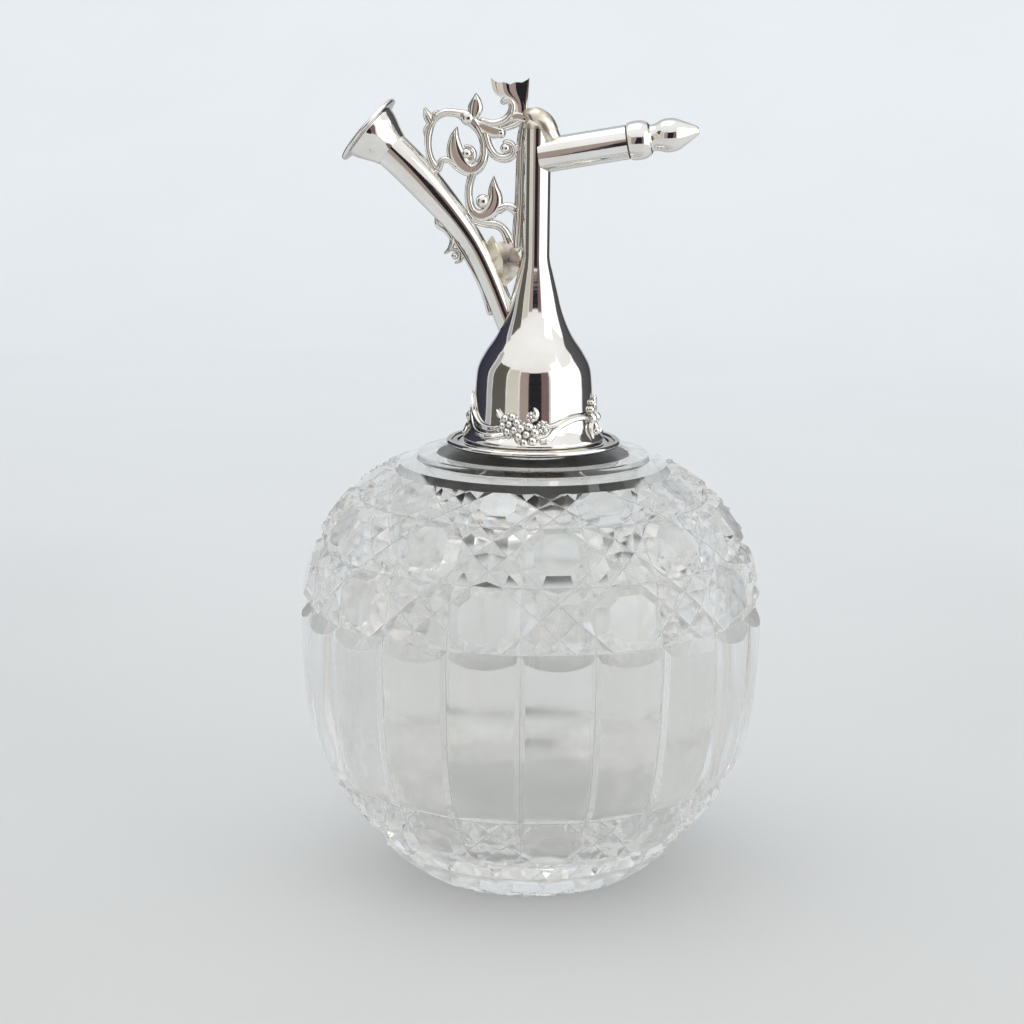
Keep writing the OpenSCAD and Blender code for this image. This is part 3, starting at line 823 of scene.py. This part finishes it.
def build_trumpet():
    """The curved air tube with its bore, and the flared ferrule that takes the bulb."""
    bm = bmesh.new()
    line = smooth(TRUMPET, 8)
    sides, last = 56, len(line) - 1
    rows = []
    for wall in (0, TRUMPET_WALL):
        order = range(last + 1) if wall == 0 else range(last, -1, -1)
        for i in order:
            d = line[min(i + 1, last)] - line[max(i - 1, 0)]
            heading = Vector((d[0], 0, d[1])).normalized()
            if i == last:
                heading = Vector((-math.cos(MOUTH_TILT), 0, math.sin(MOUTH_TILT)))
            side = Vector((heading[2], 0, -heading[0]))
            x, z, outer_r = line[i]
            r = outer_r - wall
            rows.append([bm.verts.new((Vector((x, 0, z)) + side * r * math.cos(turn)
                                       + Vector((0, 1, 0)) * r * math.sin(turn)) * MM)
                         for turn in [TAU * k / sides for k in range(sides)]])
    grid_faces(bm, rows, closed_v=True)
    piece("trumpet", bm, "head", "silver", ["trumpet_tube"], crease=50)

    bm = bmesh.new()
    back = MOUTH_LEN - 1.1
    outside = [(p[0], p[1]) for p in smooth([(4.62, 0), (5.05, 1.2), (5.75, 2.7), (6.4, 4), (6.95, 5.3),
                                             (7.35, back - 0.15)], 5)]
    rim = [(MOUTH_R - 0.5 + 0.5 * math.cos(a), MOUTH_LEN - 0.55 + 0.5 * math.sin(a))
           for a in [math.radians(d) for d in range(-80, 91, 17)]]
    inside = [(8.2, MOUTH_LEN - 0.25), (6.8, MOUTH_LEN - 0.45), (5.4, 7.1), (4.2, 6.5), (3.6, 6.1),
              (SOCKET_R, 5.6), (SOCKET_R, 0.0)]
    lathe(bm, outside + [(7.6, back), (8.6, back + 0.02)] + rim + inside, 128, MOUTH, closed=True)
    piece("trumpet_mouth_ferrule", bm, "head", "silver", ["trumpet_mouth"], crease=50)


# ---------------------------------------------------------------- castings

# Strokes are [(x, z, width), ...] along the casting, balls are (x, z, radius)
BRACKET_STROKES = [
    [(-2.9, 185.4, 1.2), (-3.8, 180, 1.6), (-4.0, 172, 1.6), (-4.2, 164, 1.7), (-4.8, 154, 2.0)],
    [(-19.3, 182.6, 0.4), (-19.9, 180.2, 2.0), (-19.7, 177, 3.4), (-18.4, 174.4, 3.5), (-16, 172.7, 2.8),
     (-13.8, 173.8, 2.2), (-12.7, 176.4, 1.8), (-12.9, 179.6, 1.6), (-14.2, 182.4, 1.8), (-16.4, 184.8, 2.6),
     (-19.4, 186.0, 1.6), (-22.6, 186, 1.5), (-25.0, 184.2, 1.3), (-26.2, 181.2, 1.5), (-26.3, 178.0, 1.3),
     (-25.6, 175.0, 1.4), (-24.3, 172.9, 1.8)],
    [(-17.8, 174, 1.4), (-15.8, 174.6, 1.2), (-15.1, 176.4, 1.1), (-15.9, 177.9, 0.9), (-17.2, 178.3, 0.6)],
    [(-23.9, 172.8, 1.6), (-22.9, 174.7, 1.3), (-21.2, 174.9, 1.3), (-19.4, 173.6, 1.6)],
    [(-15.3, 184.8, 1.6), (-14.9, 187.2, 2.9), (-14.7, 189.2, 1.9), (-14.8, 190.7, 0.3)],
    [(-13.2, 184.2, 1.5), (-10.6, 183.5, 1.7), (-7.9, 184.3, 1.8), (-6.3, 186, 1.7), (-5.9, 188, 1.6),
     (-6.9, 189.3, 1.4), (-8.1, 188.9, 1.3)],
    [(-7.4, 184.5, 1.4), (-5.0, 185.5, 2.2), (-2.9, 185.2, 2.4)],
    [(-14.6, 184.0, 1.2), (-12.3, 182.7, 2.6), (-10.2, 181.9, 2.8), (-8.8, 181.8, 2.0)],
    [(-12.6, 181.6, 1.7), (-11.5, 178.0, 1.7), (-9.6, 175.9, 1.6), (-7.1, 175.6, 1.8), (-5.5, 177, 1.5),
     (-6.1, 179, 1.2), (-7.6, 179.4, 1.0)],
    [(-8.4, 182.4, 1.0), (-5.9, 183.2, 1.2), (-4.0, 184.2, 1.2)],
    [(-5.8, 177.2, 1.4), (-4.2, 178.2, 1.7)],
    [(-10.3, 171.1, 0.3), (-10.3, 168.6, 1.9), (-10.0, 165.8, 3.1), (-11.0, 163.2, 3.4), (-13.2, 161.7, 2.7),
     (-15.4, 162.8, 2.0), (-16.3, 165.6, 1.6), (-16.3, 168.6, 1.5), (-15.6, 171.4, 1.6), (-15.2, 172.6, 1.8)],
    [(-9.0, 163.4, 2.0), (-7.0, 164.1, 1.5), (-4.8, 163.3, 2.2)],
    [(-15.0, 160.6, 1.4), (-12.1, 159.9, 1.6), (-9.4, 159.6, 1.7), (-7.6, 158.2, 1.7), (-6.2, 155.4, 2.2)],
    [(-25.6, 183.6, 1.6), (-26.5, 185.4, 1.7), (-27.1, 187.0, 0.6)],
    [(-25.2, 184, 1.4), (-24.7, 185.6, 1.3), (-24.0, 186.5, 0.4)],
    [(-26.2, 182.8, 1.4), (-26.9, 181.8, 1.1), (-27.2, 180.9, 0.4)]]
BRACKET_BALLS = [(-16.7, 184.9, 1.75), (-16.9, 176.5, 1.4), (-7.5, 177.9, 1.3), (-12.9, 165.2, 1.75),
                 (-8.7, 181.4, 1.2), (-6.9, 164.1, 0.95)]
# The palmette's two side edges as (x, z)
PALMETTE_LEFT = [(-5.6, 186.0), (-5.9, 188.2), (-7.2, 189.5), (-9.1, 190.1), (-10.5, 191.4), (-11.2, 194.3)]
PALMETTE_RIGHT = [(-2.2, 185.6), (-2.3, 187.6), (-2.3, 189.4), (-2.2, 191.2), (-2.1, 192.8), (-2.0, 194.5)]
LOWER_STROKES = [
    [(-24.4, 161.2, 0.5), (-23.4, 159.6, 1.9), (-21.8, 158.4, 1.6), (-20.3, 156, 1.2), (-20.8, 153.8, 1.0),
     (-22, 152.6, 0.5)],
    [(-22.6, 158.4, 1.0), (-20.6, 157.4, 1.2), (-19.2, 155, 1.0), (-16.6, 151, 0.9), (-14.4, 147.2, 1.0),
     (-12.6, 143.4, 1.1), (-10.9, 138.4, 1.3)],
    [(-20.8, 153.4, 0.6), (-19.6, 153.4, 0.8), (-18.2, 152.6, 0.9), (-18.2, 151, 0.8), (-19.4, 150.3, 0.5)]]
LOWER_BALLS = [(-19.6, 151.9, 0.9)]
# The thickest stroke, the chased line's depth as a share, and how much fuller a stroke is than drawn
CAST_T = 2.2
CHASING = 0.22
SWELL = 1.25


def cast_stroke(bm, stroke):
    """A rounded stroke in the head's plane, with widths that swell and taper along it."""
    points = smooth(stroke, 8)
    path = [mm(p[0], 0, p[1]) for p in points]
    widths = [max(p[2] * SWELL, 0.4) * MM for p in points]
    depths = [min(CAST_T, 1.2 + 0.5 * p[2]) * MM for p in points]
    sweep(bm, path, widths, depths, sides=24, chasing=CHASING)


def palmette(bm):
    """The fan at the top: four ribs that end in a scalloped edge with two horns."""
    left, right = smooth(PALMETTE_LEFT, 4), smooth(PALMETTE_RIGHT, 4)
    across = 24
    sheets = []
    for way in (-1, 1):
        rows = []
        for i, (a, b) in enumerate(zip(left, right)):
            t = i / (len(left) - 1)
            row = []
            for k in range(across + 1):
                u = k / across
                ribs = abs(math.cos(3 * math.pi * u))
                p = a.lerp(b, u)
                dip = t ** 3 * (1.5 * math.sin(math.pi * u) ** 0.6 - 0.5 * ribs * math.sin(math.pi * u))
                half = (0.85 + 0.14 * ribs * t) * math.sin(math.pi * (0.06 + 0.88 * u)) ** 0.4
                row.append(bm.verts.new(mm(p[0], way * half, p[1] - dip)))
            rows.append(row)
        sheets.append(rows)
    close_sheets(bm, *sheets)


def openwork(strokes, balls):
    """A new mesh with strokes and balls in the head's plane."""
    bm = bmesh.new()
    for stroke in strokes:
        cast_stroke(bm, stroke)
    for x, z, r in balls:
        ball(bm, mm(x, 0, z), r * MM, (1, 0.9, 1))
    return bm


def build_castings():
    """The tall openwork bracket with its palmette, and the lower scroll on the trumpet."""
    bm = openwork(BRACKET_STROKES, BRACKET_BALLS)
    palmette(bm)
    piece("scroll_casting", bm, "head", "silver", ["scroll_bracket"], crease=60, material=CAST_SILVER)
    bm = openwork(LOWER_STROKES, LOWER_BALLS)
    piece("lower_scroll_casting", bm, "head", "silver", ["lower_scroll"], crease=60, material=CAST_SILVER)


def on_bell(azimuth, z, out):
    """A point on the bell's skirt: azimuth in degrees from the front towards +X, out in millimetres."""
    a = math.radians(azimuth)
    r = bell_radius(z) + out
    return mm(r * math.sin(a), -r * math.cos(a), z)


def rose(bm, azimuth, z, radius, petals):
    """A small open flower: plump petals round a beaded eye, with a bead in each gap."""
    centre = on_bell(azimuth, z, 0.4)
    a = math.radians(azimuth)
    out = Vector((math.sin(a), -math.cos(a), 0.25)).normalized()
    side = UP.cross(out).normalized()
    up = out.cross(side).normalized()
    for k in range(petals):
        for shift, reach, size in ((0.25, 0.66, 0.36), (0.75, 0.86, 0.16)):
            turn = TAU * (k + shift) / petals
            direction = side * math.cos(turn) + up * math.sin(turn)
            ball(bm, centre + out * 0.25 * MM + direction * radius * reach * MM, radius * size * MM)
    ball(bm, centre + out * 0.75 * MM, radius * 0.3 * MM)


# A garland, with azimuths in degrees from its middle: strands as [(azimuth, height, width), ...],
# flowers as (azimuth, height, radius, petals), beads as (azimuth, height, radius) and leaves as
# ([(azimuth, height), ...], width)
STRANDS = [[(14, 109.9, 1.2), (21, 110.3, 1.7), (31, 112.8, 1.6), (46, 114.3, 1.5), (62, 114.4, 1.5),
            (76, 113.8, 1.4)],
           [(15, 112.8, 1.0), (26, 113.2, 1.2), (38, 114.4, 1.0), (50, 115.1, 0.9), (64, 115.1, 0.8)],
           [(-20, 112.9, 1.2), (-34, 111.9, 1.5), (-50, 112.3, 1.5), (-68, 114.6, 1.3), (-84, 118.2, 0.9)],
           [(-20, 111.0, 1.2), (-36, 110.2, 1.5), (-54, 110.7, 1.5), (-72, 113.0, 1.4), (-86, 116.4, 1.0)]]
FLOWERS = [(-15, 113.3, 2.8, 6), (1, 111.1, 3.1, 6), (4.5, 115.2, 1.3, 5), (15.5, 112.9, 1.6, 5)]
BEADS = [(77, 113.6, 1.5), (77, 115.8, 0.9), (80, 117.4, 0.7), (-26, 111.9, 0.7)]
LEAVES = [([(74, 112.6), (69, 110.8), (65, 109.3)], 2.2), ([(8, 114.4), (9, 116.4), (7, 117.6)], 1.6),
          ([(-22, 114), (-27, 115.6), (-29, 116.8)], 1.4)]


def garland(name, azimuth, replaced):
    """Half of the wreath round the bell's foot."""
    bm = bmesh.new()
    for x, z, r, petals in FLOWERS:
        rose(bm, azimuth + x, z, r, petals)
    for strand in STRANDS:
        points = smooth(strand, 8)
        middle = on_bell(azimuth + points[len(points) // 2][0], 112, 0)
        side = Vector((middle[0], middle[1], 0)).normalized()
        sweep(bm, [on_bell(azimuth + p[0], p[1], 0.35) for p in points], [p[2] * MM for p in points],
              [1.6 * MM] * len(points), sides=20, side_axis=side, chasing=CHASING)
    for x, z, r in BEADS:
        ball(bm, on_bell(azimuth + x, z, 0.4), r * MM)
    for points, width in LEAVES:
        spine = [on_bell(azimuth + p[0], p[1], 0.5) for p in smooth(points, 4)]
        a = math.radians(azimuth + points[1][0])
        blade(bm, spine, width * MM, 1.2 * MM, Vector((math.sin(a), -math.cos(a), 0.2)))
    piece(name, bm, "head", "silver", replaced, crease=60, material=CAST_SILVER)


# A side scroll's leaves as ([(azimuth, height), ...], width) and beads as (azimuth, height, out, radius)
SIDE_LEAVES = [([(-5, 110), (-9, 113.2), (-6, 116.2), (1, 119.2)], 2.8),
               ([(0, 110), (5, 112.4), (9, 114.2), (7, 116.6)], 2.2),
               ([(4, 111), (9, 110), (13, 109.2)], 1.8)]
SIDE_BEADS = [(8, 113.2, 0.6, 1.3), (-9, 110.6, 0.5, 0.9)]


def side_scroll(name, azimuth, replaced):
    """The spray of leaves between the two garlands."""
    bm = bmesh.new()
    a = math.radians(azimuth)
    out = Vector((math.sin(a), -math.cos(a), 0.15)).normalized()
    for points, width in SIDE_LEAVES:
        spine = [on_bell(azimuth + p[0], p[1], 0.5) for p in smooth(points, 5)]
        blade(bm, spine, width * MM, 1.3 * MM, out)
    for x, z, lift, r in SIDE_BEADS:
        ball(bm, on_bell(azimuth + x, z, lift), r * MM)
    piece(name, bm, "head", "silver", replaced, crease=60, material=CAST_SILVER)


# The saddle's outline and its fold's peak as (x, z), and its half-thickness from the rim to the peak
SADDLE = [(-11.6, 155.6), (-10.6, 157.0), (-9.6, 155.4), (-8.1, 155.6), (-5.4, 154.8), (-3.7, 151.8),
          (-3.3, 149.4), (-5.6, 146.4), (-7.7, 144.4), (-9.5, 147), (-11.7, 150.6)]
SADDLE_PEAK = (-7.6, 151.2)
RIM_HALF, KNEE_HALF, PEAK_HALF = 1.0, 1.75, 2.1


def build_saddle():
    """The solid web in the fork between the trumpet and the stem, folded about its middle."""
    bm = bmesh.new()
    peak_x, peak_z = SADDLE_PEAK
    rims = []
    for way in (-1, 1):
        rim = [bm.verts.new(mm(x, way * RIM_HALF, z)) for x, z in SADDLE]
        knee = [bm.verts.new(mm((x + peak_x) / 2, way * KNEE_HALF, (z + peak_z) / 2)) for x, z in SADDLE]
        peak = bm.verts.new(mm(peak_x, way * PEAK_HALF, peak_z))
        grid_faces(bm, [rim, knee])
        for i in range(len(SADDLE)):
            bm.faces.new([knee[i - 1], knee[i], peak])
        rims.append(rim)
    grid_faces(bm, rims)
    piece("saddle_web", bm, "head", "silver", ["trumpet_saddle"], crease=12, material=SOLDER)


def build_head():
    """Everything that screws off with the bell, and the nozzle's tip."""
    build_bell()
    build_stem()
    build_tip()
    build_trumpet()
    build_saddle()
    build_castings()
    garland("front_garland_casting", 0, ["front_garland"])
    garland("back_garland_casting", 180, ["back_garland"])
    side_scroll("right_scroll_casting", 90, ["right_scroll"])
    side_scroll("left_scroll_casting", -90, ["left_scroll"])


def dress_cad_nodes():
    """The plain turned pieces keep their CAD shape and take a detailed material."""
    slots = {s["node"]: s["material_slot"] for s in frame["record"]["subparts"]}
    for name, node in frame["nodes"].items():
        node.data.materials.clear()
        node.data.materials.append(MATERIALS[slots[name]])
        node.data.shade_smooth()
        node.data.set_sharp_from_angle(angle=math.radians(30))


# ---------------------------------------------------------------- stage, light and camera

FLOOR_TONE = (0.66, 0.67, 0.67, 1)
WALL_TONE = (0.90, 0.95, 1.0, 1)
BEND_Y = 0.9
BEND_R = 0.8
BOARD_HALF = 3
BOARD_TOP = 3.0


def stage_piece(name, bm, material):
    """Turns a bmesh into a smooth-shaded object for the set; it is attached to no body."""
    for face in bm.faces:
        face.smooth = True
    obj = new_object(name, bm, material)
    return obj


def build_stage():
    """A pale board that bends up behind the object, in metres."""
    bm = bmesh.new()
    bend = [(BEND_Y + BEND_R * math.sin(a), BEND_R - BEND_R * math.cos(a))
            for a in [math.radians(d) for d in range(0, 91, 6)]]
    profile = [(-1.2, 0), (-0.4, 0), (0.2, 0)] + bend + [(BEND_Y + BEND_R, BOARD_TOP)]
    rows = [[bm.verts.new((x, y, z)) for x in (-BOARD_HALF, BOARD_HALF)] for y, z in profile]
    grid_faces(bm, rows, closed_u=False)
    material, nodes, links, shader = new_material("table_board")
    coordinates = nodes.new("ShaderNodeTexCoord")
    split = nodes.new("ShaderNodeSeparateXYZ")
    links.new(coordinates.outputs["Object"], split.inputs[0])
    rise = nodes.new("ShaderNodeMapRange")
    rise.inputs["From Min"].default_value = -0.2
    rise.inputs["From Max"].default_value = 1.5
    links.new(split.outputs["Y"], rise.inputs["Value"])
    colour = ramp(nodes, links, rise.outputs[0], (0.0, FLOOR_TONE), (1.0, WALL_TONE))
    cloud = noise(nodes, links, 9, 5, coordinates)
    marks = ramp(nodes, links, cloud.outputs["Fac"], (0.35, grey(0.985)), (0.65, grey(1.0)))
    multiply(nodes, links, 1.0, colour.outputs[0], marks.outputs[0], shader.inputs["Base Color"])
    shader.inputs["Roughness"].default_value = 0.6
    shader.inputs["Specular IOR Level"].default_value = 0.2
    stage_piece("table", bm, material)


# What the silver mirrors: upright cards as [from, to (degrees from the camera), bottom, top, colour]
CARD_R = 0.45
CARDS = [(-155, -104, 0.03, 0.50, (0.05, 0.05, 0.075)), (-101, -90, 0.03, 0.50, (0.45, 0.45, 0.47)),
         (-88, -56, 0.03, 0.44, (0.11, 0.105, 0.09)), (-53, -30, 0.03, 0.40, (0.62, 0.60, 0.52)),
         (-27, -10, 0.03, 0.36, (0.36, 0.29, 0.26)), (-10, 15, 0.02, 0.34, (0.018, 0.018, 0.022)),
         (15, 30, 0.03, 0.36, (0.20, 0.13, 0.13)), (34, 106, 0.03, 0.40, (1.5, 1.5, 1.45)),
         (109, 158, 0.03, 0.50, (0.10, 0.10, 0.11))]


def build_cards():
    """Dark and bright flags that only reflections see."""
    steps = 8
    for i, (start, end, low, high, tone) in enumerate(CARDS):
        bm = bmesh.new()
        angles = [CAMERA_AZIMUTH + math.radians(start + (end - start) * k / steps) for k in range(steps + 1)]
        rows = [[bm.verts.new((CARD_R * math.sin(a), -CARD_R * math.cos(a), z)) for a in angles]
                for z in (low, high)]
        grid_faces(bm, rows, closed_u=False)
        material = bpy.data.materials.new(f"flag_{i}")
        material.use_nodes = True
        nodes = material.node_tree.nodes
        nodes.clear()
        out = nodes.new("ShaderNodeOutputMaterial")
        glow = nodes.new("ShaderNodeEmission")
        glow.inputs["Color"].default_value = (*tone, 1)
        material.node_tree.links.new(glow.outputs[0], out.inputs[0])
        card = stage_piece(f"flag_{i}", bm, material)
        card.visible_camera = False
        card.visible_diffuse = False
        card.visible_transmission = False
        card.visible_shadow = False
        card.visible_volume_scatter = False


def area_light(name, place, target, size, power):
    """A soft white light in metres and watts, turned to its target."""
    data = bpy.data.lights.new(name, "AREA")
    data.shape = "RECTANGLE"
    data.size, data.size_y = size
    data.energy = power
    light = bpy.data.objects.new(name, data)
    light.location = place
    light.rotation_mode = "QUATERNION"
    light.rotation_quaternion = (Vector(target) - Vector(place)).to_track_quat("-Z", "Y")
    bpy.context.scene.collection.objects.link(light)


def build_lights():
    """A bright plain room with two soft lights."""
    world = bpy.data.worlds.new("room")
    bpy.context.scene.world = world
    world.use_nodes = True
    nodes, links = world.node_tree.nodes, world.node_tree.links
    background = nodes["Background"]
    coordinates = nodes.new("ShaderNodeTexCoord")
    split = nodes.new("ShaderNodeSeparateXYZ")
    links.new(coordinates.outputs["Generated"], split.inputs[0])
    ramp(nodes, links, split.outputs["Z"],
         (0.0, (0.80, 0.78, 0.75, 1)), (0.8, (0.98, 0.98, 0.97, 1)), background.inputs["Color"])
    background.inputs["Strength"].default_value = 0.95
    area_light("window_right", (1.1, -0.6, 0.9), (0, 0, 0.1), (0.5, 0.7), 2.5)
    area_light("overhead", (-0.3, 0.1, 1.5), (0, 0, 0.1), (1.0, 1.0), 3)


CAMERA_AZIMUTH = math.radians(6.8)
CAMERA_DISTANCE = 0.540
CAMERA_HEIGHT = 0.200
CAMERA_PITCH = math.radians(11.6)
CAMERA_LENS = 78.4
AIM_SHIFT = -0.005
ROLL = math.radians(0.6)


def build_camera():
    """The photo's view, as far as its proportions give it."""
    data = bpy.data.cameras.new("camera")
    data.sensor_width = 36
    data.lens = CAMERA_LENS
    data.clip_start, data.clip_end = 0.01, 20
    camera = bpy.data.objects.new("camera", data)
    bpy.context.scene.collection.objects.link(camera)
    back = Vector((math.sin(CAMERA_AZIMUTH), -math.cos(CAMERA_AZIMUTH), 0))
    right = Vector((math.cos(CAMERA_AZIMUTH), math.sin(CAMERA_AZIMUTH), 0))
    camera.location = back * CAMERA_DISTANCE + UP * CAMERA_HEIGHT
    aim = UP * (CAMERA_HEIGHT - CAMERA_DISTANCE * math.tan(CAMERA_PITCH)) + right * AIM_SHIFT
    camera.rotation_mode = "QUATERNION"
    look = (aim - camera.location).to_track_quat("-Z", "Y")
    camera.rotation_quaternion = look @ Matrix.Rotation(ROLL, 4, "Z").to_quaternion()
    bpy.context.scene.camera = camera


bpy.context.scene.view_settings.view_transform = "Standard"
# The cut glass stays dark where rays give up early
bpy.context.scene.cycles.max_bounces = 24
bpy.context.scene.cycles.glossy_bounces = 16
bpy.context.scene.cycles.transmission_bounces = 24
build_camera()
build_stage()
build_lights()
build_cards()
dress_cad_nodes()
build_bottle()
build_collar()
build_saucer()
build_head()
